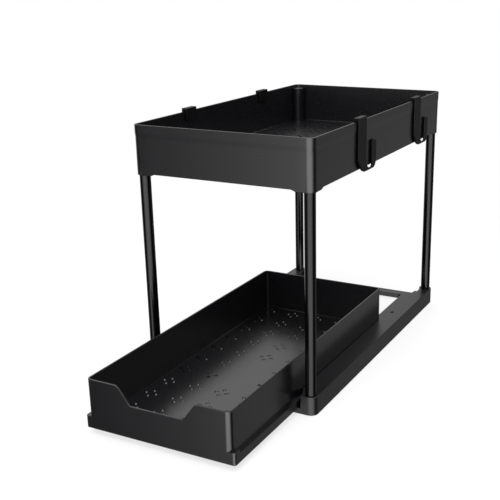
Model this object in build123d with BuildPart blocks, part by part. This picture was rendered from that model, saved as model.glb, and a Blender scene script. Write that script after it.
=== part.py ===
"""Two-tier slide-out organizer for the space under a sink.

A moulded base frame stands on four rubber pads. A drawer slides in channels
along the two rails of the base. Four posts rise from the base and carry an
open tray, and four hooks hang over the tray's long rims.

X runs across the organizer, Y from its front to its back and Z up. The origin
is on the floor, below the middle of the organizer with its drawer pulled out
as far as it is at rest.
"""
import os

from build123d import *

os.makedirs("parts", exist_ok=True)

# Overall sizes
base_width = 221.0
base_length = 399.0
tray_height_above_base = 303.8
overrun = 5.0

# Pads under the base
pad_radius = 7.0
pad_thickness = 1.8
pad_recess = 1.0
pad_reach_in = 12.5

# Base frame
base_height = 21.2
front_corner_radius = 8.7
rear_corner_radius = 11.5
ledge_height = 6.5
ledge_width = 43.2
ledge_corner_radius = 5.0
front_bar_depth = 10.7
rear_bar_depth = 14.0
deck_lip = 4.3
rail_width = 23.5
channel_side_gap = 0.3
deck_rear_y = 360.0
shoulder_reach_in = 18.9
shoulder_run = 9.6
shoulder_lean = 1.2
neck_reach_in = 14.5
mouth_reach_in = 17.3
mouth_rear_y = 19.0
mouth_side_gap = 0.7
socket_wall = 2.4
socket_floor = 3.0
screw_hole_radius = 2.1
screw_hole_wall = 0.3
screw_hole_y = 276.8
edge_chamfer = 0.6

# Posts
post_radius = 6.2
post_wall = 1.2
post_inset = 8.7
post_rear_inset = 10.0
fit_gap = 0.1

# Upper tray
tray_side_step = 0.5
tray_wall = 2.2
tray_floor = 2.4
tray_depth = 54.2
tray_corner_radius = 8.2
tray_draft = 0.38
skirt_lip = 1.0
corner_drop = 2.0
corner_drop_reach = 20.8
corner_drop_ramp = 5.1
column_radius = 8.0
column_below_rim = 4.0
column_cap = 2.4

# Drawer
drawer_side_gap = 0.6
drawer_length = 386.2
drawer_height = 56.3
drawer_lift = 0.35
drawer_corner_radius = 5.8
drawer_wall = 2.2
drawer_floor = 2.4
drawer_floor_raise = 1.15
drawer_pulled_out = 134.5
drawer_travel = 258.0
flange_reach = 4.2
flange_height = 9.25
block_height = 13.8
block_length = 9.2
block_corner_radius = 3.0
notch_depth = 19.9
notch_bottom_half = 31.9
notch_top_half = 46.8
notch_inner_radius = 3.5
notch_outer_radius = 7.5
lug_width = 14.0
lug_length = 6.0
lug_drop = 4.4
lug_x = 48.0
lug_gap = 0.3
columns_each_side = 2
rows_each_way = 5
blank_rows = (-1, 0)
hole_side_margin = 13.2
hole_end_margin = 15.1
hole_cluster_reach = 6.5
hole_radius = 1.95
hole_sides = 4

# Hooks
hook_thickness = 2.2
hook_gap = 0.3
hook_arch = 3.6
hook_strap = 21.5
hook_slot = 18.0
hook_arm = 11.0
hook_bottom_below_skirt = 4.2
hook_arm_height = 32.0
hook_leg_depth = 11.0
hook_outer_radius = 20.0
hook_tip_radius = 9.0
hook_inner_radius = 12.0
hook_slot_radius = 4.0
hook_edge_radius = 0.8
right_hook_places = {"front": 110.5, "back": 291.5}
left_hook_places = {"front": 123.5, "back": 302.5}

# Widths, heights and places worked out from the sizes above
tray_width = base_width - tray_side_step * 2
deck_inner_x = base_width / 2 - rail_width
ledge_inner_x = base_width / 2 - ledge_width
shoulder_x = base_width / 2 - shoulder_reach_in
neck_x = base_width / 2 - neck_reach_in
mouth_x = base_width / 2 - mouth_reach_in
drawer_half_width = deck_inner_x - drawer_side_gap
base_bottom = pad_thickness - pad_recess
deck_top = base_bottom + base_height
ledge_top = base_bottom + ledge_height
rim_top = base_bottom + tray_height_above_base
skirt_bottom = rim_top - tray_depth
tray_floor_under = skirt_bottom + skirt_lip
tray_floor_top = tray_floor_under + tray_floor
corner_bottom = skirt_bottom - corner_drop
column_top = rim_top - column_below_rim
post_bottom = base_bottom + socket_floor
post_top = column_top - column_cap
post_x = base_width / 2 - post_inset
flange_x = drawer_half_width + flange_reach
channel_x = flange_x + channel_side_gap
drawer_bottom = ledge_top + drawer_lift

# The model's own Y puts the middle of the pulled-out organizer at zero
front_y = -(base_length - drawer_pulled_out) / 2
back_y = front_y + base_length
middle_y = front_y + base_length / 2
drawer_front_y = front_y - drawer_pulled_out
post_ys = (front_y + post_inset, back_y - post_rear_inset)
post_places = [(side * post_x, y) for y in post_ys for side in (-1, 1)]

# Base frame: rails with drawer channels, two low bars and four post sockets
low_length = base_length - front_bar_depth - rear_bar_depth
low_middle_y = front_y + front_bar_depth + low_length / 2
rear_post_y = post_ys[1]
socket_radius = post_radius + socket_wall
cut_height = base_height - ledge_height + overrun
channel_height = base_height - ledge_height - deck_lip
screw_x = channel_x + screw_hole_wall + screw_hole_radius
shoulder_end_y = front_y + deck_rear_y + shoulder_run

with BuildPart() as base_frame:
    with BuildSketch(Plane.XY.offset(base_bottom)):
        with Locations((0, middle_y)):
            Rectangle(base_width, base_length)
        fillet(vertices().group_by(Axis.Y)[0], front_corner_radius)
        fillet(vertices().filter_by(lambda v: v.Y > middle_y).group_by(Axis.Y)[-1], rear_corner_radius)
    extrude(amount=base_height)
    chamfer(base_frame.faces().sort_by(Axis.Z)[-1].edges(), edge_chamfer)
    # The bay between the rails, above the ledges
    with BuildSketch(Plane.XY.offset(ledge_top)) as bay:
        with BuildLine():
            Polyline(
                (0, front_y - overrun),
                (mouth_x, front_y - overrun),
                (mouth_x, front_y),
                (flange_x + mouth_side_gap, front_y + block_length + mouth_side_gap),
                (deck_inner_x, front_y + mouth_rear_y),
                (deck_inner_x, front_y + deck_rear_y),
                (shoulder_x, front_y + deck_rear_y),
                (shoulder_x + shoulder_lean, shoulder_end_y),
                (neck_x, shoulder_end_y),
                (neck_x, rear_post_y),
                (post_x, rear_post_y),
                (post_x, back_y + overrun),
                (0, back_y + overrun),
                close=True,
            )
        make_face()
        with Locations((post_x, rear_post_y)):
            Circle(socket_radius, mode=Mode.SUBTRACT)
        mirror(about=Plane.YZ)
    extrude(amount=cut_height, mode=Mode.SUBTRACT)
    # The channels that the drawer's flanges run in
    with BuildSketch(Plane.XY.offset(ledge_top)):
        with Locations((0, front_y + (deck_rear_y - overrun) / 2)):
            Rectangle(channel_x + channel_x, deck_rear_y + overrun)
    extrude(amount=channel_height, mode=Mode.SUBTRACT)
    # The open floor between the ledges and the bars
    with BuildSketch(Plane.XY.offset(base_bottom - overrun)):
        with Locations((0, low_middle_y)):
            RectangleRounded(ledge_inner_x + ledge_inner_x, low_length, ledge_corner_radius)
    extrude(amount=ledge_height + overrun + overrun, mode=Mode.SUBTRACT)
    # Post sockets, screw holes and the pads' recesses
    with BuildSketch(Plane.XY.offset(post_bottom)):
        with Locations(post_places):
            Circle(post_radius + fit_gap)
    extrude(amount=base_height, mode=Mode.SUBTRACT)
    with Locations(Plane.XY.offset(deck_top)):
        with Locations((-screw_x, front_y + screw_hole_y), (screw_x, front_y + screw_hole_y)):
            Hole(screw_hole_radius)
    pad_x = base_width / 2 - pad_reach_in
    pad_ys = (front_y + pad_reach_in, back_y - pad_reach_in)
    pad_places = [(side * pad_x, y) for y in pad_ys for side in (-1, 1)]
    with BuildSketch(Plane.XY.offset(base_bottom)):
        with Locations(pad_places):
            Circle(pad_radius + fit_gap)
    extrude(amount=pad_recess, mode=Mode.SUBTRACT)

base_frame.part.label = "base_frame"
export_step(base_frame.part, "parts/base_frame.step")

# Posts and pads: one of each at every corner
corner_names = ("front_left", "front_right", "back_left", "back_right")
for name, (x, y) in zip(corner_names, post_places):
    with BuildPart() as post:
        with BuildSketch(Plane.XY.offset(post_bottom)):
            with Locations((x, y)):
                Circle(post_radius)
                Circle(post_radius - post_wall, mode=Mode.SUBTRACT)
        extrude(amount=post_top - post_bottom)
    post.part.label = "post_" + name
    export_step(post.part, "parts/post_" + name + ".step")

for name, (x, y) in zip(corner_names, pad_places):
    with BuildPart() as pad:
        with BuildSketch():
            with Locations((x, y)):
                Circle(pad_radius)
        extrude(amount=pad_thickness)
    pad.part.label = "pad_" + name
    export_step(pad.part, "parts/pad_" + name + ".step")

# Upper tray: drafted walls, a floor set inside the skirt, a column at each corner
with BuildPart() as upper_tray:
    with BuildSketch(Plane.XY.offset(rim_top)):
        with Locations((0, middle_y)):
            RectangleRounded(tray_width, base_length, tray_corner_radius)
    extrude(amount=-(tray_depth + corner_drop), taper=tray_draft)
    with BuildSketch(Plane.XY.offset(rim_top)):
        with Locations((0, middle_y)):
            RectangleRounded(
                tray_width - tray_wall - tray_wall,
                base_length - tray_wall - tray_wall,
                tray_corner_radius - tray_wall,
            )
    extrude(amount=tray_floor_top - rim_top, taper=tray_draft, mode=Mode.SUBTRACT)
    # The space under the floor, inside the skirt
    with BuildSketch(Plane.XY.offset(corner_bottom)):
        with Locations((0, middle_y)):
            RectangleRounded(
                tray_width - tray_wall * 2 - edge_chamfer * 2,
                base_length - tray_wall * 2 - edge_chamfer * 2,
                tray_corner_radius - tray_wall,
            )
    extrude(amount=tray_floor_under - corner_bottom, mode=Mode.SUBTRACT)
    # The columns that take the posts
    with BuildSketch(Plane.XY.offset(corner_bottom)):
        with Locations(post_places):
            Circle(column_radius)
    extrude(amount=column_top - corner_bottom)
    # The skirt's lower edge rises between the corners, with a ramp at each end
    for plane, middle, length, through in (
        (Plane.XZ, 0, tray_width, base_length),
        (Plane.YZ, middle_y, base_length, tray_width),
    ):
        low = length / 2 - corner_drop_reach
        high = low - corner_drop_ramp
        with BuildSketch(plane.offset(-(middle_y if plane is Plane.XZ else 0))):
            with BuildLine():
                Polyline(
                    (middle - low, corner_bottom - overrun),
                    (middle + low, corner_bottom - overrun),
                    (middle + low, corner_bottom),
                    (middle + high, skirt_bottom),
                    (middle - high, skirt_bottom),
                    (middle - low, corner_bottom),
                    close=True,
                )
            make_face()
        extrude(amount=through, both=True, mode=Mode.SUBTRACT)
    # The posts' bores
    with BuildSketch(Plane.XY.offset(corner_bottom)):
        with Locations(post_places):
            Circle(post_radius + fit_gap)
    extrude(amount=post_top - corner_bottom, mode=Mode.SUBTRACT)
    chamfer(upper_tray.faces().sort_by(Axis.Z)[-1].edges(), edge_chamfer)

upper_tray.part.label = "upper_tray"
export_step(upper_tray.part, "parts/upper_tray.step")

# Drawer: open box with side flanges, front corner blocks and a finger notch
drawer_middle_y = drawer_front_y + drawer_length / 2
drawer_width = drawer_half_width * 2
drawer_rim = drawer_bottom + drawer_height
drawer_floor_under = drawer_bottom + drawer_floor_raise
drawer_floor_top = drawer_floor_under + drawer_floor
lug_front_y = drawer_front_y + drawer_travel + front_bar_depth + lug_gap

with BuildPart() as drawer:
    with BuildSketch(Plane.XY.offset(drawer_bottom)):
        with Locations((0, drawer_middle_y)):
            RectangleRounded(drawer_width, drawer_length, drawer_corner_radius)
    extrude(amount=drawer_height)
    with BuildSketch(Plane.XY.offset(drawer_bottom)) as flanges:
        with Locations((0, drawer_middle_y)):
            Rectangle(flange_x * 2, drawer_length)
        fillet(flanges.vertices().group_by(Axis.Y)[0], block_corner_radius)
    extrude(amount=flange_height)
    with BuildSketch(Plane.XY.offset(drawer_bottom)) as blocks:
        with Locations((0, drawer_front_y + block_length / 2)):
            Rectangle(flange_x * 2, block_length)
        fillet(blocks.vertices().group_by(Axis.Y)[0], block_corner_radius)
    extrude(amount=block_height)
    with BuildSketch(Plane.XY.offset(drawer_floor_top)):
        with Locations((0, drawer_middle_y)):
            RectangleRounded(
                drawer_width - drawer_wall * 2,
                drawer_length - drawer_wall * 2,
                drawer_corner_radius - drawer_wall,
            )
    extrude(amount=drawer_height, mode=Mode.SUBTRACT)
    with BuildSketch(Plane.XY.offset(drawer_bottom)):
        with Locations((0, drawer_middle_y)):
            RectangleRounded(
                drawer_width - drawer_wall * 2,
                drawer_length - drawer_wall * 2,
                drawer_corner_radius - drawer_wall,
            )
    extrude(amount=drawer_floor_raise, mode=Mode.SUBTRACT)
    # Catch lugs that meet the front bar when the drawer is fully out
    with BuildSketch(Plane.XY.offset(drawer_floor_under - lug_drop)):
        with Locations((-lug_x, lug_front_y + lug_length / 2), (lug_x, lug_front_y + lug_length / 2)):
            Rectangle(lug_width, lug_length)
    extrude(amount=lug_drop)
    # Finger notch in the front wall
    with BuildSketch(Plane.XZ.offset(-drawer_front_y)) as notch:
        with BuildLine():
            Polyline(
                (-notch_bottom_half, drawer_rim - notch_depth),
                (notch_bottom_half, drawer_rim - notch_depth),
                (notch_top_half, drawer_rim),
                (notch_top_half + notch_outer_radius, drawer_rim),
                (notch_top_half + notch_outer_radius, drawer_rim + overrun),
                (-notch_top_half - notch_outer_radius, drawer_rim + overrun),
                (-notch_top_half - notch_outer_radius, drawer_rim),
                (-notch_top_half, drawer_rim),
                close=True,
            )
        make_face()
        fillet(notch.vertices().group_by(Axis.Y)[0], notch_inner_radius)
        shoulders = notch.vertices().filter_by(lambda v: abs(abs(v.X) - notch_top_half) < notch_inner_radius)
        fillet(shoulders.filter_by(lambda v: v.Y > drawer_rim - notch_inner_radius), notch_outer_radius)
    extrude(amount=-(drawer_wall + overrun), mode=Mode.SUBTRACT)
    # Drain holes in diamonds of four, in columns and rows over the floor
    column_pitch = (drawer_half_width - drawer_wall - hole_side_margin) / columns_each_side
    row_pitch = (drawer_length / 2 - drawer_wall - hole_end_margin) / rows_each_way
    cluster_places = [
        (column * column_pitch, drawer_middle_y + row * row_pitch)
        for column in range(-columns_each_side, columns_each_side + 1)
        for row in range(-rows_each_way, rows_each_way + 1)
        if column or row not in blank_rows
    ]
    with BuildSketch(Plane.XY.offset(drawer_floor_under)):
        with Locations(cluster_places):
            with PolarLocations(hole_cluster_reach, hole_sides):
                RegularPolygon(hole_radius, hole_sides)
    extrude(amount=drawer_floor, mode=Mode.SUBTRACT)

drawer.part.label = "drawer"
export_step(drawer.part, "parts/drawer.step")

# Hooks: a clip folded over the rim and a J hanging beside the wall
hook_bottom = skirt_bottom - hook_bottom_below_skirt
hook_top = rim_top + hook_gap + hook_arch
hook_length = hook_strap + hook_slot + hook_arm
plate_inner_x = tray_width / 2 + hook_gap
leg_outer_x = tray_width / 2 - tray_wall - hook_gap
leg_bottom = rim_top - hook_leg_depth

hook_rows = [("right_" + name, 1, place) for name, place in right_hook_places.items()]
hook_rows += [("left_" + name, -1, place) for name, place in left_hook_places.items()]
for name, side, place in hook_rows:
    start_y = front_y + place
    from_strap = Axis((0, 0, 0), (side, 0, 0))
    with BuildPart() as hook:
        with BuildSketch(Plane.YZ.offset(side * plate_inner_x)) as plate:
            with Locations((start_y + side * hook_length / 2, hook_bottom + hook_arm_height / 2)):
                Rectangle(hook_length, hook_arm_height)
            for corner, radius in ((0, hook_outer_radius), (-1, hook_tip_radius)):
                fillet(plate.vertices().group_by(Axis.Y)[0].sort_by(from_strap)[corner], radius)
            slot_middle = start_y + side * (hook_strap + hook_slot / 2)
            with BuildSketch(mode=Mode.SUBTRACT) as slot:
                with Locations((slot_middle, hook_bottom + hook_thickness + hook_arm_height / 2)):
                    Rectangle(hook_slot, hook_arm_height)
                for corner, radius in ((0, hook_inner_radius), (-1, hook_slot_radius)):
                    fillet(slot.vertices().group_by(Axis.Y)[0].sort_by(from_strap)[corner], radius)
            with Locations((start_y + side * hook_strap / 2, (hook_bottom + hook_arm_height + hook_top) / 2)):
                Rectangle(hook_strap, hook_top - hook_bottom - hook_arm_height)
        extrude(amount=side * hook_thickness)
        with BuildSketch(Plane.XZ.offset(-start_y)):
            with BuildLine():
                Polyline(
                    (side * plate_inner_x, hook_top),
                    (side * plate_inner_x, hook_top - hook_arch),
                    (side * leg_outer_x, hook_top - hook_arch),
                    (side * leg_outer_x, leg_bottom),
                    (side * (leg_outer_x - hook_thickness), leg_bottom),
                    (side * (leg_outer_x - hook_thickness), hook_top),
                    close=True,
                )
            make_face()
        extrude(amount=-side * hook_strap)
        fillet(hook.faces().sort_by(Axis.Z)[-1].edges().filter_by(Axis.Y), hook_edge_radius)
    hook.part.label = "hook_" + name
    export_step(hook.part, "parts/hook_" + name + ".step")
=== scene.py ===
# %% [markdown]
# # Two-tier slide-out organizer
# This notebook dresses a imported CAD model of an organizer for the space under
# a sink. A moulded base frame stands on four rubber pads and a drawer slides in
# it. Four enamelled tubes carry an open tray, and hooks hang over its rims.
# The place and the outer size of each piece are read from the CAD model. Walls,
# notches and other inner sizes are named here and repeat the CAD's values.

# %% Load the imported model
import math

import bmesh
import bpy
from mathutils import Matrix, Vector


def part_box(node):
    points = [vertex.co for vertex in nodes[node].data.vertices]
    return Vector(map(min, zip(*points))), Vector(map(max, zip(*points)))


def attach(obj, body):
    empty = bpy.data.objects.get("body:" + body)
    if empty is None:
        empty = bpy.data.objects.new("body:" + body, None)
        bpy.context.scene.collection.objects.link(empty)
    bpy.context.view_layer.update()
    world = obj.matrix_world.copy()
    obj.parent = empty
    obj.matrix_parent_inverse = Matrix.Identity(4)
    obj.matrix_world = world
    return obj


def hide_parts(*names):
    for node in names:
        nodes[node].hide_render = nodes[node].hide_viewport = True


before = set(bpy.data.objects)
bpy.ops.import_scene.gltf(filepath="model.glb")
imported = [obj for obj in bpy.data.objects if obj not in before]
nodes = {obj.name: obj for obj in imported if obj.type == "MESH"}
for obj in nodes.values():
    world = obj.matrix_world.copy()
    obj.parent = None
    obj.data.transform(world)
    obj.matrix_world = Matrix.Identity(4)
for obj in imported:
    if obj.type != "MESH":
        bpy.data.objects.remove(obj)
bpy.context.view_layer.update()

MM = 0.001

# %% [markdown]
# ## Colours and shader nodes
# Finishes are written as the hex colours that a paint or plastics chart gives.
# Those are sRGB values, and the shader wants linear light, so one function
# turns them. Another function adds a shader node with its settings and its
# links in one go, which keeps each material short enough to read.

# %% Helpers for materials
def linear(hex_colour):
    """A hex colour from a chart as linear RGBA."""
    parts = [int(hex_colour[i:i + 2], 16) / 255 for i in (1, 3, 5)]
    return [c / 12.92 if c <= 0.04045 else ((c + 0.055) / 1.055) ** 2.4 for c in parts] + [1.0]


def add(tree, kind, settings=None, **sockets):
    """Adds a node: settings are its properties, sockets are numbers or other nodes' outputs."""
    node = tree.nodes.new(kind)
    for key, value in (settings or {}).items():
        setattr(node, key, value)
    for key, value in sockets.items():
        name = key.replace("_", " ")
        socket = node.inputs[int(key[1:])] if key[0] == "n" and key[1:].isdigit() else node.inputs[name]
        if isinstance(value, bpy.types.NodeSocket):
            tree.links.new(value, socket)
        else:
            socket.default_value = value
    return node


def new_material(name):
    """A material with an empty tree."""
    material = bpy.data.materials.new(name)
    material.use_nodes = True
    material.node_tree.nodes.clear()
    return material, material.node_tree


print("mid grey #808080 in linear light:", round(linear("#808080")[0], 3))

# %% [markdown]
# ## Moulded polypropylene
# The frame, the tray, the drawer and the hooks are injection moulded in black
# polypropylene. Its steel mould is polished and then lightly eroded, which
# leaves a satin skin: reflections are clear close to a surface and soft farther
# off. The skin has a fine grain of about half a millimetre and slow waves of a
# few centimetres where the melt shrank. Both come from noise on the object's
# own coordinates, so that they stay put when a part slides. The frame's grain
# is drawn at one millimetre, coarser than it is, so that it shows in a render.

# %% Plastic
DRIFT_MM, PATCH_MM = 60, 9
PLASTIC_ROUGHNESS_SPREAD, PLASTIC_IOR = 0.015, 1.49


def moulded_plastic(name, colour, worn, roughness, gloss, grain_mm, grain_depth, wave_mm, wave_depth):
    """Satin moulded plastic: colour drifts a little, roughness varies, and two noises bend the skin."""
    material, tree = new_material(name)
    place = add(tree, "ShaderNodeTexCoord").outputs["Object"]
    drift = add(tree, "ShaderNodeTexNoise", None, Vector=place, Scale=1 / (DRIFT_MM * MM), Detail=3.0)
    tint = add(
        tree, "ShaderNodeMix", {"data_type": "RGBA"},
        n0=drift.outputs["Fac"], n6=linear(colour), n7=linear(worn),
    )
    patches = add(tree, "ShaderNodeTexNoise", None, Vector=place, Scale=1 / (PATCH_MM * MM), Detail=4.0)
    rough = add(
        tree, "ShaderNodeMapRange", None, Value=patches.outputs["Fac"],
        n3=roughness - PLASTIC_ROUGHNESS_SPREAD, n4=roughness + PLASTIC_ROUGHNESS_SPREAD,
    )
    grain = add(tree, "ShaderNodeTexNoise", None, Vector=place, Scale=1 / (grain_mm * MM), Detail=2.0)
    wave = add(tree, "ShaderNodeTexNoise", None, Vector=place, Scale=1 / (wave_mm * MM), Detail=1.0)
    slow = add(tree, "ShaderNodeBump", None, Strength=1.0, Distance=wave_depth * MM, Height=wave.outputs["Fac"])
    fine = add(
        tree, "ShaderNodeBump", None,
        Strength=1.0, Distance=grain_depth * MM, Height=grain.outputs["Fac"], Normal=slow.outputs["Normal"],
    )
    shader = add(
        tree, "ShaderNodeBsdfPrincipled", None,
        Base_Color=tint.outputs[2], Roughness=rough.outputs["Result"],
        IOR=PLASTIC_IOR, Specular_IOR_Level=gloss, Normal=fine.outputs["Normal"],
    )
    add(tree, "ShaderNodeOutputMaterial", None, Surface=shader.outputs["BSDF"])
    return material


tray_plastic = moulded_plastic(
    "polypropylene_satin_tray", "#0c0a0d", "#110f12", roughness=0.27, gloss=0.5,
    grain_mm=0.6, grain_depth=0.002, wave_mm=45.0, wave_depth=0.03,
)
drawer_plastic = moulded_plastic(
    "polypropylene_satin_drawer", "#0d0b0e", "#121013", roughness=0.25, gloss=0.55,
    grain_mm=0.6, grain_depth=0.002, wave_mm=50.0, wave_depth=0.03,
)
frame_plastic = moulded_plastic(
    "polypropylene_satin_frame", "#0d0b0e", "#121013", roughness=0.34, gloss=0.36,
    grain_mm=1.0, grain_depth=0.006, wave_mm=40.0, wave_depth=0.03,
)
hook_plastic = moulded_plastic(
    "polypropylene_satin_hooks", "#0a090a", "#0e0d0f", roughness=0.42, gloss=0.14,
    grain_mm=0.5, grain_depth=0.003, wave_mm=20.0, wave_depth=0.02,
)
print("plastics:", [m.name for m in (tray_plastic, drawer_plastic, frame_plastic, hook_plastic)])

# %% [markdown]
# ## Black enamel on steel tube and rubber
# The posts are steel tube with a smooth black enamel, so their reflections are
# the sharpest here. Enamel flows before it sets, and that leaves a faint orange
# peel about two millimetres across. The pads are moulded rubber: matt, a shade
# greyer, with a coarse dry grain.

# %% Enamel and rubber
DUST_MM, ENAMEL_IOR = 14, 1.52
RUBBER_ROUGHNESS, RUBBER_IOR, RUBBER_GRAIN_DEPTH = 0.82, 1.52, 0.05


def enamelled_steel(name, colour, roughness, gloss, peel_mm, peel_depth):
    """Glossy enamel with a faint orange peel."""
    material, tree = new_material(name)
    place = add(tree, "ShaderNodeTexCoord").outputs["Object"]
    peel = add(tree, "ShaderNodeTexNoise", None, Vector=place, Scale=1 / (peel_mm * MM), Detail=1.0)
    dust = add(tree, "ShaderNodeTexNoise", None, Vector=place, Scale=1 / (DUST_MM * MM), Detail=5.0)
    rough = add(
        tree, "ShaderNodeMapRange", None,
        Value=dust.outputs["Fac"], n3=roughness - 0.03, n4=roughness + 0.04,
    )
    skin = add(tree, "ShaderNodeBump", None, Strength=1.0, Distance=peel_depth * MM, Height=peel.outputs["Fac"])
    shader = add(
        tree, "ShaderNodeBsdfPrincipled", None,
        Base_Color=linear(colour), Roughness=rough.outputs["Result"],
        IOR=ENAMEL_IOR, Specular_IOR_Level=gloss, Normal=skin.outputs["Normal"],
    )
    add(tree, "ShaderNodeOutputMaterial", None, Surface=shader.outputs["BSDF"])
    return material


def matt_rubber(name, colour, grey, grain_mm):
    """Rubber with a dry grain."""
    material, tree = new_material(name)
    place = add(tree, "ShaderNodeTexCoord").outputs["Object"]
    grain = add(tree, "ShaderNodeTexNoise", None, Vector=place, Scale=1 / (grain_mm * MM), Detail=4.0)
    tint = add(
        tree, "ShaderNodeMix", {"data_type": "RGBA"},
        n0=grain.outputs["Fac"], n6=linear(colour), n7=linear(grey),
    )
    skin = add(
        tree, "ShaderNodeBump", None,
        Strength=0.6, Distance=RUBBER_GRAIN_DEPTH * MM, Height=grain.outputs["Fac"],
    )
    shader = add(
        tree, "ShaderNodeBsdfPrincipled", None,
        Base_Color=tint.outputs[2], Roughness=RUBBER_ROUGHNESS, IOR=RUBBER_IOR, Normal=skin.outputs["Normal"],
    )
    add(tree, "ShaderNodeOutputMaterial", None, Surface=shader.outputs["BSDF"])
    return material


post_enamel = enamelled_steel(
    "black_enamel_on_steel", "#060607", roughness=0.15, gloss=0.2, peel_mm=2.0, peel_depth=0.003
)
pad_rubber = matt_rubber("rubber_matt_black", "#1c1c1c", "#2a2a2a", grain_mm=0.8)
print("other finishes:", post_enamel.name, "and", pad_rubber.name)

# %% [markdown]
# ## Rings and skins
# A moulded box is a stack of outlines: up the outside, over the rim, down the
# inside. Each outline is one ring of points, all rings have the same number of
# points in the same order, and a band of quads joins each ring to the next.
# That gives clean flat walls, and a rim or a skirt can rise and fall just by
# asking a function for the height of each point.

# %% Rings
def corner_arc(centre, radius, start, steps=8):
    """Points on a quarter circle, anticlockwise from the angle start."""
    turns = [start + math.pi / 2 * i / steps for i in range(steps + 1)]
    return [(centre[0] + radius * math.cos(t), centre[1] + radius * math.sin(t)) for t in turns]


def rounded_ring(half_x, half_y, radius, stops_x=(), stops_y=()):
    """A rounded rectangle about the origin, anticlockwise from the right-hand end of its front."""
    cx, cy = half_x - radius, half_y - radius
    across, along = sorted(stops_x), sorted(stops_y)
    ring = corner_arc((cx, -cy), radius, -math.pi / 2)
    ring += [(half_x, y) for y in along]
    ring += corner_arc((cx, cy), radius, 0)
    ring += [(x, half_y) for x in reversed(across)]
    ring += corner_arc((-cx, cy), radius, math.pi / 2)
    ring += [(-half_x, y) for y in reversed(along)]
    ring += corner_arc((-cx, -cy), radius, math.pi)
    ring += [(x, -half_y) for x in across]
    return ring


def round_over(wall, edge, steps=3):
    """Pairs of inset and drop that lead over a rim: up the outside, rounded, and down the inside."""
    turns = [math.pi / 2 * i / steps for i in range(steps + 1)]
    outside = [(edge * (1 - math.cos(t)), edge * (1 - math.sin(t))) for t in turns]
    return outside + [(wall - inset, drop) for inset, drop in reversed(outside)]


def skin(bm, rings, closed=False):
    """Joins rings of 3-D points with bands of quads. An open skin is closed by a face at each end."""
    made = [[bm.verts.new(p) for p in ring] for ring in rings]
    pairs = list(zip(made, made[1:])) + ([(made[-1], made[0])] if closed else [])
    for below, above in pairs:
        for i in range(len(below)):
            j = (i + 1) % len(below)
            bm.faces.new((below[i], below[j], above[j], above[i]))
    if not closed:
        bm.faces.new(list(reversed(made[0])))
        bm.faces.new(made[-1])


print("a rounded ring has", len(rounded_ring(2, 1, 0.5)), "points without stops")

# %% [markdown]
# ## From a bmesh to a piece
# Every moulding has small rounds on its edges, and they are what shows its shape
# in a black plastic, because each one catches a line of light. Faces are shaded
# smooth, edges steeper than 35 degrees are kept sharp, and the normals are
# weighted by area, so that the flat walls stay flat right up to the rounds.

# %% Finished pieces
SAME_POINT, SHARP_EDGE_DEG = 0.001 * MM, 35


def plain_mesh(draft):
    """The evaluated mesh of a draft object, with its modifiers applied. The draft is thrown away."""
    bpy.context.view_layer.update()
    mesh = bpy.data.meshes.new_from_object(draft.evaluated_get(bpy.context.evaluated_depsgraph_get()))
    bpy.data.objects.remove(draft)
    return mesh


def draft_object(mesh):
    """An object for a mesh that is still being worked on."""
    draft = bpy.data.objects.new("draft", mesh)
    bpy.context.scene.collection.objects.link(draft)
    return draft


def mesh_of(bm):
    """A clean mesh from a bmesh: doubles merged, slivers gone, faces outwards."""
    bmesh.ops.remove_doubles(bm, verts=bm.verts, dist=SAME_POINT)
    bmesh.ops.dissolve_degenerate(bm, edges=bm.edges, dist=SAME_POINT)
    bmesh.ops.recalc_face_normals(bm, faces=bm.faces)
    mesh = bpy.data.meshes.new("draft")
    bm.to_mesh(mesh)
    bm.free()
    return mesh


def finished(name, mesh, body, material, replaces=()):
    """A piece with smooth rounds and crisp flats, its material, its body and the node it stands for."""
    mesh.shade_smooth()
    mesh.set_sharp_from_angle(angle=math.radians(SHARP_EDGE_DEG))
    draft = draft_object(mesh)
    draft.modifiers.new("weigh", "WEIGHTED_NORMAL").keep_sharp = True
    final = plain_mesh(draft)
    final.name = name
    final.materials.clear()
    final.materials.append(material)
    piece = bpy.data.objects.new(name, final)
    bpy.context.scene.collection.objects.link(piece)
    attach(piece, body)
    if replaces:
        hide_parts(*replaces)
    print(name, "has", len(final.polygons), "faces")
    return piece


# %% [markdown]
# ## A rounded copy of a CAD solid
# The base frame and the hooks already have the right shape and only lack their
# small rounds. A copy of the solid's mesh is merged, its flat faces are made
# whole again, and a bevel rounds each edge. The two screw holes in the base's
# deck also get a shallow countersink, by a Boolean with a cone: a bevel would
# only round them.

# %% Rounding and countersinking
TRIANGLE_CORNERS, STILL_FLAT_DEG = 0.002 * MM, 0.5


def rounded_copy(node, round_mm, segments=3, angle=28):
    """The mesh of a CAD node with its edges rounded."""
    bm = bmesh.new()
    bm.from_mesh(nodes[node].data)
    bmesh.ops.remove_doubles(bm, verts=bm.verts, dist=TRIANGLE_CORNERS)
    bmesh.ops.dissolve_limit(bm, angle_limit=math.radians(STILL_FLAT_DEG), verts=bm.verts, edges=bm.edges)
    draft = draft_object(bpy.data.meshes.new("draft"))
    bm.to_mesh(draft.data)
    bm.free()
    bevel = draft.modifiers.new("round", "BEVEL")
    bevel.width = round_mm * MM
    bevel.segments = segments
    bevel.limit_method = "ANGLE"
    bevel.angle_limit = math.radians(angle)
    return plain_mesh(draft)


def countersunk(mesh, places, radius, depth):
    """The mesh with a cone taken out at each place, so that a screw's head sits flush."""
    pins = bmesh.new()
    for place in places:
        bmesh.ops.create_cone(
            pins, cap_ends=True, segments=32, radius1=radius - depth, radius2=radius + depth, depth=2 * depth,
            matrix=Matrix.Translation(place),
        )
    cutter, draft = draft_object(mesh_of(pins)), draft_object(mesh)
    cut = draft.modifiers.new("countersink", "BOOLEAN")
    cut.operation, cut.object = "DIFFERENCE", cutter
    final = plain_mesh(draft)
    bpy.data.objects.remove(cutter)
    return final


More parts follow.
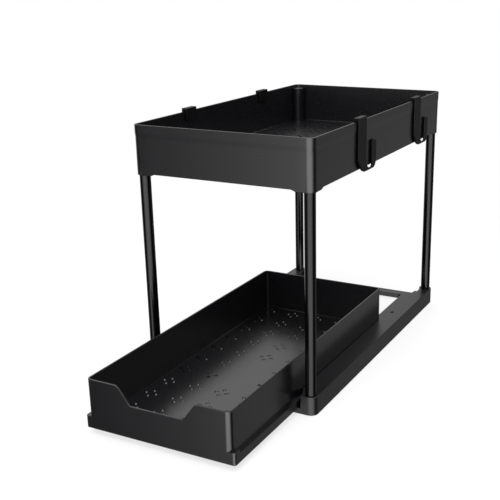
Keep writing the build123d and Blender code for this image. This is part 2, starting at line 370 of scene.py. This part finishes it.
# %% Base frame and hooks
FRAME_ROUND_MM, HOOK_ROUND_MM = 0.35, 0.7
SCREW_X, SCREW_Y = 93.3 * MM, 144.55 * MM
SINK_RADIUS, SINK_DEPTH = 2.9 * MM, 0.8 * MM
deck_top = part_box("base_frame")[1].z
screw_places = [Vector((side * SCREW_X, SCREW_Y, deck_top)) for side in (-1, 1)]
base_mesh = countersunk(rounded_copy("base_frame", FRAME_ROUND_MM), screw_places, SINK_RADIUS, SINK_DEPTH)
finished("base_rails", base_mesh, "stand", frame_plastic, ["base_frame"])
for side in ("right_front", "right_back", "left_front", "left_back"):
    finished(
        "clip_" + side, rounded_copy("hook_" + side, HOOK_ROUND_MM),
        "clip_" + side, hook_plastic, ["hook_" + side],
    )

# %% [markdown]
# ## Posts and pads
# Each post is a length of steel tube. It is a skin through circles: up the
# outside, over a small round, down the bore and back, so it is a closed tube
# with a real wall. The pads keep their CAD mesh, which is only a disc, and get
# their rubber.

# %% Tubes
CORNERS = ("front_left", "front_right", "back_left", "back_right")
TUBE_WALL, TUBE_EDGE = 1.2 * MM, 0.3 * MM


def circle(centre, radius, height, steps=48):
    """A level circle of points."""
    turns = [2 * math.pi * i / steps for i in range(steps)]
    return [(centre.x + radius * math.cos(t), centre.y + radius * math.sin(t), height) for t in turns]


for corner in CORNERS:
    low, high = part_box("post_" + corner)
    centre, radius = (low + high) / 2, (high.x - low.x) / 2
    ends = round_over(TUBE_WALL, TUBE_EDGE)
    rings = [circle(centre, radius - inset, high.z - drop) for inset, drop in ends]
    rings += [circle(centre, radius - inset, low.z + drop) for inset, drop in reversed(ends)]
    bm = bmesh.new()
    skin(bm, rings, closed=True)
    finished("tube_" + corner, mesh_of(bm), "stand", post_enamel, ["post_" + corner])
    pad = nodes["pad_" + corner].data
    pad.materials.clear()
    pad.materials.append(pad_rubber)

# %% [markdown]
# ## Perforated floors
# Both floors have drain holes: diamonds of four, in columns and rows. One
# Geometry Nodes tree makes them for both. It lays a grid of points, puts four
# points round each, puts a mould pin on every one and takes the pins out of the
# floor. The pins taper, as real ones do so that the part comes off the mould.
# In the drawer two diamonds of the middle column are left out. The CAD drawer
# has the same diamonds with smaller, four-sided holes, and the CAD tray has none.

# %% Drain hole tree
PIN_SIDES, PIN_TAPER, MIDDLE_COLUMN = 14, 0.9, 1 * MM


def drain_hole_tree():
    """A tree that takes a field of tapered pins out of a floor."""
    tree = bpy.data.node_groups.new("drain_holes", "GeometryNodeTree")
    tree.interface.new_socket("Floor", in_out="INPUT", socket_type="NodeSocketGeometry")
    for name, kind in (
        ("Columns", "Int"), ("Rows", "Int"), ("Column pitch", "Float"), ("Row pitch", "Float"),
        ("Cluster reach", "Float"), ("Hole radius", "Float"), ("Pin length", "Float"),
        ("Middle", "Vector"), ("Blank from", "Float"), ("Blank to", "Float"), ("Finish", "Material"),
    ):
        tree.interface.new_socket(name, in_out="INPUT", socket_type="NodeSocket" + kind)
    tree.interface.new_socket("Floor", in_out="OUTPUT", socket_type="NodeSocketGeometry")
    given = add(tree, "NodeGroupInput").outputs

    def less_one_times(count, pitch):
        less = add(tree, "ShaderNodeMath", {"operation": "SUBTRACT"}, n0=given[count], n1=1.0)
        times = add(tree, "ShaderNodeMath", {"operation": "MULTIPLY"}, n0=less.outputs[0], n1=given[pitch])
        return times.outputs[0]

    grid = add(
        tree, "GeometryNodeMeshGrid", None,
        Size_X=less_one_times("Columns", "Column pitch"), Size_Y=less_one_times("Rows", "Row pitch"),
        Vertices_X=given["Columns"], Vertices_Y=given["Rows"],
    )
    point = add(tree, "GeometryNodeInputPosition")
    place = add(tree, "ShaderNodeSeparateXYZ", None, Vector=point.outputs[0])
    aside = add(tree, "ShaderNodeMath", {"operation": "ABSOLUTE"}, n0=place.outputs["X"])
    less, more, both_true = {"operation": "LESS_THAN"}, {"operation": "GREATER_THAN"}, {"operation": "AND"}
    inner = add(tree, "FunctionNodeCompare", less, n0=aside.outputs[0], n1=MIDDLE_COLUMN)
    behind = add(tree, "FunctionNodeCompare", more, n0=place.outputs["Y"], n1=given["Blank from"])
    before = add(tree, "FunctionNodeCompare", less, n0=place.outputs["Y"], n1=given["Blank to"])
    between = add(tree, "FunctionNodeBooleanMath", both_true, n0=behind.outputs[0], n1=before.outputs[0])
    blank = add(tree, "FunctionNodeBooleanMath", both_true, n0=inner.outputs[0], n1=between.outputs[0])
    clusters = add(
        tree, "GeometryNodeDeleteGeometry", {"domain": "POINT"},
        Geometry=grid.outputs["Mesh"], Selection=blank.outputs[0],
    )
    four = add(tree, "GeometryNodeMeshCircle", None, Vertices=4, Radius=given["Cluster reach"])
    spread = add(
        tree, "GeometryNodeInstanceOnPoints", None, Points=clusters.outputs[0], Instance=four.outputs["Mesh"]
    )
    holes = add(tree, "GeometryNodeRealizeInstances", None, Geometry=spread.outputs[0])
    slim = add(tree, "ShaderNodeMath", {"operation": "MULTIPLY"}, n0=given["Hole radius"], n1=PIN_TAPER)
    pin = add(
        tree, "GeometryNodeMeshCone", None,
        Vertices=PIN_SIDES, Radius_Bottom=slim.outputs[0], Radius_Top=given["Hole radius"],
        Depth=given["Pin length"],
    )
    pins = add(tree, "GeometryNodeInstanceOnPoints", None, Points=holes.outputs[0], Instance=pin.outputs["Mesh"])
    loose = add(tree, "GeometryNodeRealizeInstances", None, Geometry=pins.outputs[0])
    moved = add(tree, "GeometryNodeTransform", None, Geometry=loose.outputs[0], Translation=given["Middle"])
    cut = add(
        tree, "GeometryNodeMeshBoolean", {"operation": "DIFFERENCE", "solver": "EXACT"}, n0=given["Floor"]
    )
    tree.links.new(moved.outputs[0], cut.inputs[1])
    whole = add(tree, "GeometryNodeRealizeInstances", None, Geometry=cut.outputs["Mesh"])
    dressed = add(tree, "GeometryNodeSetMaterial", None, Geometry=whole.outputs[0], Material=given["Finish"])
    add(tree, "NodeGroupOutput", None, Floor=dressed.outputs[0])
    return tree


drain_holes = drain_hole_tree()
print("the drain hole tree has", len(drain_holes.nodes), "nodes")

# %% Drilling a floor
def drilled(mesh, material, **sizes):
    """A copy of a mesh with the field of drain holes, its sizes given by the names of the tree's inputs."""
    draft = draft_object(mesh)
    drill = draft.modifiers.new("drill", "NODES")
    drill.node_group = drain_holes
    values = {name.replace("_", " "): value for name, value in sizes.items()} | {"Finish": material}
    for item in drain_holes.interface.items_tree:
        if item.in_out == "INPUT" and item.name in values:
            drill[item.identifier] = values[item.name]
    final = plain_mesh(draft)
    print("drilled:", len(mesh.polygons), "faces became", len(final.polygons))
    return final


COLUMN_PITCH, ROW_PITCH, PIN_LENGTH = 35.5 * MM, 35.16 * MM, 8 * MM
CLUSTER_REACH, HOLE_RADIUS = 6.5 * MM, 2.5 * MM
hole_sizes = dict(
    Columns=5, Rows=11, Column_pitch=COLUMN_PITCH, Row_pitch=ROW_PITCH,
    Cluster_reach=CLUSTER_REACH, Hole_radius=HOLE_RADIUS, Pin_length=PIN_LENGTH,
)

# %% [markdown]
# ## The upper tray
# The tray is an open box with drafted walls. A band along the rim stands a
# little proud. The skirt hangs below the floor and drops lower at the corners,
# with a short ramp at each end. In each corner stands a column that takes a
# post, closed on top by a cap just under the rim.

# %% Tray shell
low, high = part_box("upper_tray")
tray_half = Vector(((high.x - low.x) / 2, (high.y - low.y) / 2))
tray_middle = Vector(((high.x + low.x) / 2, (high.y + low.y) / 2))
rim_z, corner_z = high.z, low.z
WALL, FLOOR = 2.2 * MM, 2.4 * MM
TRAY_CORNER = 8.2 * MM
BAND_LOW, BAND_HIGH, BAND_STEP = 14.5 * MM, 9.0 * MM, 0.4 * MM
SKIRT_BELOW_RIM, FLOOR_ABOVE_SKIRT, DRAFT_DEG = 54.2 * MM, 1.0 * MM, 0.38
RAMP_START_MM, RAMP_LENGTH_MM, CORNER_ZONE = 20.8, 5.1, 6 * MM
SKIRT_EDGE, RIM_EDGE, TRAY_FILLET = 0.5 * MM, 0.6 * MM, 0.5 * MM
NEVER = 1.0
skirt_z = rim_z - SKIRT_BELOW_RIM
floor_under = skirt_z + FLOOR_ABOVE_SKIRT
floor_top = floor_under + FLOOR
draft_slope = math.tan(math.radians(DRAFT_DEG))
ramp_low = tray_half - Vector((RAMP_START_MM, RAMP_START_MM)) * MM
ramp_high = ramp_low - Vector((RAMP_LENGTH_MM, RAMP_LENGTH_MM)) * MM


def skirt_height(x, y):
    """The skirt's lower edge: low at the corners, a ramp, and high between them."""
    away_x, away_y = abs(x - tray_middle.x), abs(y - tray_middle.y)
    on_end = away_y > tray_half.y - CORNER_ZONE and away_x < tray_half.x - CORNER_ZONE
    past = (ramp_low.x - away_x) if on_end else (ramp_low.y - away_y)
    return corner_z + min(max(past / (ramp_low.x - ramp_high.x), 0), 1) * (skirt_z - corner_z)


def tray_ring(inset, height):
    """One ring of the tray: inset from the drafted outside, at a height that may be a function."""
    level = corner_z if callable(height) else height
    lean = (rim_z - level) * draft_slope + inset
    ring = rounded_ring(
        tray_half.x - lean, tray_half.y - lean, TRAY_CORNER - inset,
        [s * v for s in (-1, 1) for v in (ramp_low.x, ramp_high.x)],
        [s * v for s in (-1, 1) for v in (ramp_low.y, ramp_high.y)],
    )
    placed = [(x + tray_middle.x, y + tray_middle.y) for x, y in ring]
    return [(x, y, height(x, y) if callable(height) else height) for x, y in placed]


def above_skirt(rise):
    """The height of a ring that stays this far above the skirt's edge."""
    return lambda x, y: skirt_height(x, y) + rise


rings = [tray_ring(WALL, floor_under), tray_ring(WALL, above_skirt(SKIRT_EDGE))]
rings += [
    tray_ring(BAND_STEP + inset, above_skirt(drop))
    for inset, drop in reversed(round_over(WALL - BAND_STEP, SKIRT_EDGE))
]
band = [(BAND_STEP * share, BAND_HIGH + (BAND_LOW - BAND_HIGH) * share) for share in (1.0, 0.95, 0.05, 0.0)]
rings += [tray_ring(inset, rim_z - drop) for inset, drop in band]
rings += [tray_ring(inset, rim_z - drop) for inset, drop in round_over(WALL, RIM_EDGE)]
rings += [tray_ring(WALL + inset, floor_top + drop) for inset, drop in round_over(WALL, TRAY_FILLET)[:4]]
bm = bmesh.new()
skin(bm, rings)
tray_mesh = drilled(
    mesh_of(bm), tray_plastic, Middle=(tray_middle.x, tray_middle.y, floor_top - PIN_LENGTH / 2),
    Blank_from=NEVER, Blank_to=NEVER, **hole_sizes,
)
finished("tray_shell", tray_mesh, "stand", tray_plastic, ["upper_tray"])

# %% Columns in the tray's corners
COLUMN_RADIUS, COLUMN_BELOW_RIM, COLUMN_EDGE = 8.0 * MM, 4.0 * MM, 0.6 * MM
COLUMN_FOOT = ((0.3 * MM, 0.1 * MM), (0, 0.4 * MM))
bm = bmesh.new()
for corner in CORNERS:
    low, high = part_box("post_" + corner)
    centre, top = (low + high) / 2, rim_z - COLUMN_BELOW_RIM
    rings = [circle(centre, COLUMN_RADIUS - inset, corner_z + rise) for inset, rise in COLUMN_FOOT]
    rings += [
        circle(centre, COLUMN_RADIUS - inset, top - drop)
        for inset, drop in round_over(WALL, COLUMN_EDGE)[:4]
    ]
    skin(bm, rings)
finished("tray_columns", mesh_of(bm), "stand", tray_plastic)

# %% [markdown]
# ## The drawer
# The drawer is a narrower box, a little shorter than the tray, with upright
# walls. A flange runs along the foot of each side and slides in the base, and a
# block closes the flange at the front corner, flush with the front. The outline
# therefore changes with the height: wide at the flange, then wide only at the
# block, then plain. The front rim dips into a notch for the fingers, with round
# shoulders and tighter rounds below.

# %% Drawer outline and rim
low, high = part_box("drawer")
drawer_front, drawer_back, drawer_rim = low.y, high.y, high.z
drawer_middle = Vector((0, (low.y + high.y) / 2, 0))
DRAWER_HEIGHT, FLOOR_ABOVE_FOOT, DRAWER_FILLET = 56.3 * MM, 1.15 * MM, 0.4 * MM
drawer_foot = drawer_rim - DRAWER_HEIGHT
FLANGE_REACH, FLANGE_HEIGHT = 4.2 * MM, 9.25 * MM
BLOCK_LENGTH, BLOCK_HEIGHT, BLOCK_CORNER = 9.2 * MM, 13.8 * MM, 3.0 * MM
DRAWER_CORNER = 5.8 * MM
wide, slim = high.x, high.x - FLANGE_REACH
drawer_floor_under = drawer_foot + FLOOR_ABOVE_FOOT
drawer_floor_top = drawer_floor_under + FLOOR
NOTCH_DEPTH, NOTCH_FOOT, NOTCH_TOP = 19.9 * MM, 31.9 * MM, 46.8 * MM
NOTCH_INNER, NOTCH_OUTER = 3.5 * MM, 7.5 * MM
slope = math.atan2(NOTCH_DEPTH, NOTCH_TOP - NOTCH_FOOT)
foot_x = NOTCH_FOOT - NOTCH_INNER * math.tan(slope / 2)
shoulder_x = NOTCH_TOP + NOTCH_OUTER * math.tan(slope / 2)
FILLET_STEPS = 5
fillet_turns = [slope * i / FILLET_STEPS for i in range(FILLET_STEPS + 1)]
notch_half = [
    (foot_x + NOTCH_INNER * math.sin(t), NOTCH_INNER * (1 - math.cos(t)) - NOTCH_DEPTH) for t in fillet_turns
]
notch_half += [
    (shoulder_x - NOTCH_OUTER * math.sin(t), -NOTCH_OUTER * (1 - math.cos(t))) for t in reversed(fillet_turns)
]
notch = dict(notch_half) | {-x: drop for x, drop in notch_half}


def drawer_outline(block_x, block_radius, side_x, back_radius, inset=0.0):
    """The drawer's outline: a front corner, the block's end, the side and a back corner, on both sides."""
    front, back = drawer_front + inset, drawer_back - inset
    right = corner_arc((block_x - block_radius, front + block_radius), block_radius, -math.pi / 2)
    right += [(block_x, drawer_front + BLOCK_LENGTH), (side_x, drawer_front + BLOCK_LENGTH)]
    right += corner_arc((side_x - back_radius, back - back_radius), back_radius, 0)
    across = sorted(notch)
    ring = right + [(x, back) for x in reversed(across)] + [(-x, y) for x, y in reversed(right)]
    return ring + [(x, front) for x in across]


def rim_height(x, y):
    """The rim's height: the notch is only in the front wall."""
    if y > drawer_front + 2 * WALL or abs(x) > shoulder_x:
        return drawer_rim
    if abs(x) <= foot_x:
        return drawer_rim - NOTCH_DEPTH
    nearest = min(notch, key=lambda stop: abs(stop - x))
    return drawer_rim + notch[nearest]


def drawer_ring(outline, height):
    """A ring of the drawer at a height that may be a function."""
    return [(x, y, height(x, y) if callable(height) else height) for x, y in outline]


def wall_outline(inset):
    """The plain wall's outline at an inset."""
    radius = DRAWER_CORNER - inset
    return drawer_outline(slim - inset, radius, slim - inset, radius, inset)


print("notch:", round(2 * shoulder_x / MM, 1), "mm wide and", round(NOTCH_DEPTH / MM, 1), "mm deep")

# %% Drawer shell
EDGE = 0.4 * MM
BLANK_FROM, BLANK_TO = -1.5 * ROW_PITCH, 0.5 * ROW_PITCH
flange_top, block_top = drawer_foot + FLANGE_HEIGHT, drawer_foot + BLOCK_HEIGHT
foot_rounds = list(reversed(round_over(WALL, EDGE)[:4]))
rings = [drawer_ring(wall_outline(WALL), height) for height in (drawer_floor_under, drawer_foot)]
rings += [
    drawer_ring(
        drawer_outline(wide - inset, BLOCK_CORNER - inset, wide - inset, EDGE, inset), drawer_foot + drop
    )
    for inset, drop in foot_rounds
]
rings += [
    drawer_ring(drawer_outline(wide, BLOCK_CORNER, wide - inset, EDGE), flange_top - drop)
    for inset, drop in reversed(foot_rounds)
]
rings += [drawer_ring(drawer_outline(wide, BLOCK_CORNER, slim, DRAWER_CORNER), flange_top)]
rings += [
    drawer_ring(drawer_outline(wide - inset, BLOCK_CORNER, slim, DRAWER_CORNER), block_top - drop)
    for inset, drop in reversed(foot_rounds)
]
rings += [drawer_ring(wall_outline(0), block_top)]
rings += [
    drawer_ring(wall_outline(inset), lambda x, y, drop=drop: rim_height(x, y) - drop)
    for inset, drop in round_over(WALL, RIM_EDGE)
]
rings += [
    drawer_ring(wall_outline(WALL + inset), drawer_floor_top + drop)
    for inset, drop in round_over(WALL, DRAWER_FILLET)[:4]
]
bm = bmesh.new()
skin(bm, rings)
drawer_mesh = drilled(
    mesh_of(bm), drawer_plastic, Middle=(0.0, drawer_middle.y, drawer_floor_top - PIN_LENGTH / 2),
    Blank_from=BLANK_FROM, Blank_to=BLANK_TO, **hole_sizes,
)
finished("drawer_shell", drawer_mesh, "sliding_drawer", drawer_plastic, ["drawer"])

# %% Catch lugs under the drawer
LUG_X, LUG_SIZE = 48.0 * MM, Vector((14.0, 6.0, 4.4)) * MM
LUG_BEHIND_FRONT, LUG_OVERLAP, LUG_ROUND = 269.0 * MM, 0.2 * MM, 0.5 * MM
lug_y = drawer_front + LUG_BEHIND_FRONT + LUG_SIZE.y / 2
bm = bmesh.new()
for side in (-1, 1):
    middle = Vector((side * LUG_X, lug_y, drawer_floor_under - LUG_SIZE.z / 2 + LUG_OVERLAP))
    bmesh.ops.create_cube(bm, matrix=Matrix.Translation(middle) @ Matrix.Diagonal(LUG_SIZE.to_4d()))
bmesh.ops.bevel(bm, geom=bm.edges, offset=LUG_ROUND, segments=3, affect="EDGES", profile=0.5)
finished("drawer_lugs", mesh_of(bm), "sliding_drawer", drawer_plastic)

# %% [markdown]
# ## Studio
# Black plastic hardly has a colour of its own: nearly all that the eye sees on
# it is the studio's reflection. So for glossy rays the world is drawn as a
# studio: a broad soft light stands in front, a little to the right, three weak
# ones stand farther round, one on the right and two on the left, and dim walls
# rise to a paler ceiling. The camera sees plain white instead, and the matt part
# of a colour gets an even light that is weaker from below. The floor is only
# there for the camera. Near the object it keeps the soft shadow, and farther off
# it fades to white, so no horizon shows.

# %% Lights of the studio
def towards(azimuth_deg):
    """The level direction at an azimuth, counted from the front towards the right."""
    turn = math.radians(azimuth_deg)
    return (math.sin(turn), -math.cos(turn), 0.0)


SMOOTH = {"interpolation_type": "SMOOTHSTEP"}


def broad_light(tree, heading, azimuth_deg, half_width_deg, strength):
    """A light that stands at an azimuth and fades smoothly to nothing at its half width."""
    along = add(tree, "ShaderNodeVectorMath", {"operation": "DOT_PRODUCT"}, n0=heading, n1=towards(azimuth_deg))
    edge = math.cos(math.radians(half_width_deg))
    fade = add(
        tree, "ShaderNodeMapRange", SMOOTH, Value=along.outputs["Value"], n1=edge, n2=1.0, n3=0.0, n4=strength
    )
    return fade.outputs["Result"]


# Azimuth and half width in degrees, brightness, and the height at which the light ends.
STUDIO_LIGHTS = ((23, 63, 4.7, 0.3), (146, 32, 0.28, 0.1), (-108, 45, 0.4, 0.3), (-135, 42, 0.45, 0.8))
print("the studio has", len(STUDIO_LIGHTS), "lights that only reflections see")

# %% World
LIGHT_FADE = 0.3
# Two heights and the levels at them.
LIGHT_FOOT = dict(n1=-0.9, n2=-0.35, n3=0.0, n4=1.0)
DIM_WALLS = dict(n1=-0.1, n2=0.25, n3=0.04, n4=0.2)
PALE_CEILING = dict(n1=0.25, n2=0.7, n3=0.0, n4=1.4)
EVEN_LIGHT = dict(n1=-0.15, n2=0.15, n3=0.3, n4=0.85)
times, plus, largest = {"operation": "MULTIPLY"}, {"operation": "ADD"}, {"operation": "MAXIMUM"}
number = {"data_type": "FLOAT"}
world = bpy.data.worlds.new("studio_world")
bpy.context.scene.world = world
world.use_nodes = True
tree = world.node_tree
tree.nodes.clear()
ray = add(tree, "ShaderNodeTexCoord").outputs["Generated"]
height = add(tree, "ShaderNodeSeparateXYZ", None, Vector=ray).outputs["Z"]
level = add(tree, "ShaderNodeVectorMath", times, n0=ray, n1=(1.0, 1.0, 0.0)).outputs["Vector"]
heading = add(tree, "ShaderNodeVectorMath", {"operation": "NORMALIZE"}, n0=level).outputs["Vector"]
lights = 0.0
foot = add(tree, "ShaderNodeMapRange", SMOOTH, Value=height, **LIGHT_FOOT)
for azimuth_deg, half_width_deg, brightness, top in STUDIO_LIGHTS:
    one = broad_light(tree, heading, azimuth_deg, half_width_deg, brightness)
    head = add(tree, "ShaderNodeMapRange", SMOOTH, Value=height, n1=top - LIGHT_FADE, n2=top, n3=1.0, n4=0.0)
    reach = add(tree, "ShaderNodeMath", times, n0=foot.outputs["Result"], n1=head.outputs["Result"])
    lit = add(tree, "ShaderNodeMath", times, n0=one, n1=reach.outputs[0])
    lights = add(tree, "ShaderNodeMath", plus, n0=lights, n1=lit.outputs[0]).outputs[0]
walls = add(tree, "ShaderNodeMapRange", SMOOTH, Value=height, **DIM_WALLS)
ceiling = add(tree, "ShaderNodeMapRange", SMOOTH, Value=height, **PALE_CEILING)
room = add(tree, "ShaderNodeMath", plus, n0=walls.outputs["Result"], n1=ceiling.outputs["Result"])
studio = add(tree, "ShaderNodeMath", plus, n0=lights, n1=room.outputs[0])
path = add(tree, "ShaderNodeLightPath").outputs
even = add(tree, "ShaderNodeMapRange", SMOOTH, Value=height, **EVEN_LIGHT)
unseen = add(
    tree, "ShaderNodeMix", number, n0=path["Is Glossy Ray"], n2=even.outputs["Result"], n3=studio.outputs[0]
)
plain = add(tree, "ShaderNodeMath", largest, n0=path["Is Camera Ray"], n1=path["Is Transmission Ray"])
strength = add(tree, "ShaderNodeMix", number, n0=plain.outputs[0], n2=unseen.outputs[0], n3=1.0)
sky = add(tree, "ShaderNodeBackground", None, Color=linear("#ffffff"), Strength=strength.outputs[0])
add(tree, "ShaderNodeOutputWorld", None, Surface=sky.outputs["Background"])
print("the world has", len(tree.nodes), "nodes")

# %% Floor
FLOOR_HALF = 6
# Distances in metres and the emission's share at them.
FADE_TO_WHITE = dict(n1=0.25, n2=0.8, n3=0.7, n4=1.0)
studio_floor_mesh = bpy.data.meshes.new("studio_floor")
floor_corners = [(x * FLOOR_HALF, y * FLOOR_HALF, 0) for x, y in ((-1, -1), (1, -1), (1, 1), (-1, 1))]
studio_floor_mesh.from_pydata(floor_corners, [], [(0, 1, 2, 3)])
studio_floor = bpy.data.objects.new("studio_floor", studio_floor_mesh)
bpy.context.scene.collection.objects.link(studio_floor)
studio_floor.visible_glossy = studio_floor.visible_diffuse = studio_floor.visible_shadow = False
floor_paint, tree = new_material("studio_floor_white")
paint = add(tree, "ShaderNodeBsdfDiffuse", None, Color=linear("#fafafa"))
white = add(tree, "ShaderNodeEmission", None, Color=linear("#ffffff"), Strength=1.0)
seen = add(tree, "ShaderNodeLightPath").outputs["Is Camera Ray"]
spot = add(tree, "ShaderNodeTexCoord").outputs["Object"]
away = add(tree, "ShaderNodeVectorMath", {"operation": "LENGTH"}, n0=spot).outputs["Value"]
blank = add(tree, "ShaderNodeMapRange", SMOOTH, Value=away, **FADE_TO_WHITE)
share = add(tree, "ShaderNodeMath", times, n0=seen, n1=blank.outputs["Result"])
mixed = add(
    tree, "ShaderNodeMixShader", None,
    n0=share.outputs[0], n1=paint.outputs["BSDF"], n2=white.outputs["Emission"],
)
add(tree, "ShaderNodeOutputMaterial", None, Surface=mixed.outputs["Shader"])
studio_floor_mesh.materials.append(floor_paint)
print("floor of", 2 * FLOOR_HALF, "by", 2 * FLOOR_HALF, "metres")


# %% Lamps
AIM_HEIGHT = 0.15


def soft_lamp(name, azimuth_deg, elevation_deg, distance, size, watts):
    """A square soft box that points at the middle of the object."""
    light = bpy.data.lights.new(name, "AREA")
    light.shape = "SQUARE"
    light.size = size
    light.energy = watts
    lamp = bpy.data.objects.new(name, light)
    rise = math.radians(elevation_deg)
    away = Vector(towards(azimuth_deg)) * math.cos(rise) + Vector((0, 0, math.sin(rise)))
    lamp.location = away * distance + Vector((0, 0, AIM_HEIGHT))
    lamp.rotation_euler = away.to_track_quat("Z", "Y").to_euler()
    lamp.visible_camera = False
    bpy.context.scene.collection.objects.link(lamp)
    print(name, "with", watts, "W")


soft_lamp("key_light", azimuth_deg=15, elevation_deg=48, distance=1.6, size=1.2, watts=16)
soft_lamp("top_light", azimuth_deg=180, elevation_deg=75, distance=1.8, size=1.4, watts=12)

# %% [markdown]
# ## Camera
# The view was worked out from the straight edges of the frame and the tray: the
# camera stands about a metre away, 27 degrees round to the right and 18 degrees
# up. It is turned by less than a degree, and a small shift sets the frame.

# %% Camera
AZIMUTH_DEG, ELEVATION_DEG, ROLL_DEG = 27.31, 17.65, -0.71
FOCAL_PIXELS, FRAME_PIXELS, SENSOR_MM = 878.01, 500, 36
AXIS_X_PIXELS, AXIS_Y_PIXELS = 291.17, 255.08
CAMERA_X, CAMERA_Y, CAMERA_Z = 0.4809, -0.90065, 0.4566
azimuth, elevation, roll = (math.radians(v) for v in (AZIMUTH_DEG, ELEVATION_DEG, ROLL_DEG))
back = Vector((
    math.sin(azimuth) * math.cos(elevation), -math.cos(azimuth) * math.cos(elevation), math.sin(elevation)
))
right = (-back).cross(Vector((0, 0, 1))).normalized()
up = right.cross(-back)
right, up = right * math.cos(roll) + up * math.sin(roll), up * math.cos(roll) - right * math.sin(roll)
lens = bpy.data.cameras.new("photo_camera")
lens.sensor_width = SENSOR_MM
lens.lens = FOCAL_PIXELS / FRAME_PIXELS * SENSOR_MM
lens.shift_x = (FRAME_PIXELS / 2 - AXIS_X_PIXELS) / FRAME_PIXELS
lens.shift_y = (AXIS_Y_PIXELS - FRAME_PIXELS / 2) / FRAME_PIXELS
camera = bpy.data.objects.new("photo_camera", lens)
camera.matrix_world = Matrix((
    (right.x, up.x, back.x, CAMERA_X),
    (right.y, up.y, back.y, CAMERA_Y),
    (right.z, up.z, back.z, CAMERA_Z),
    (0, 0, 0, 1),
))
bpy.context.scene.collection.objects.link(camera)
bpy.context.scene.camera = camera
bpy.context.scene.view_settings.view_transform = "Standard"
print("camera with a", round(lens.lens, 1), "mm lens")
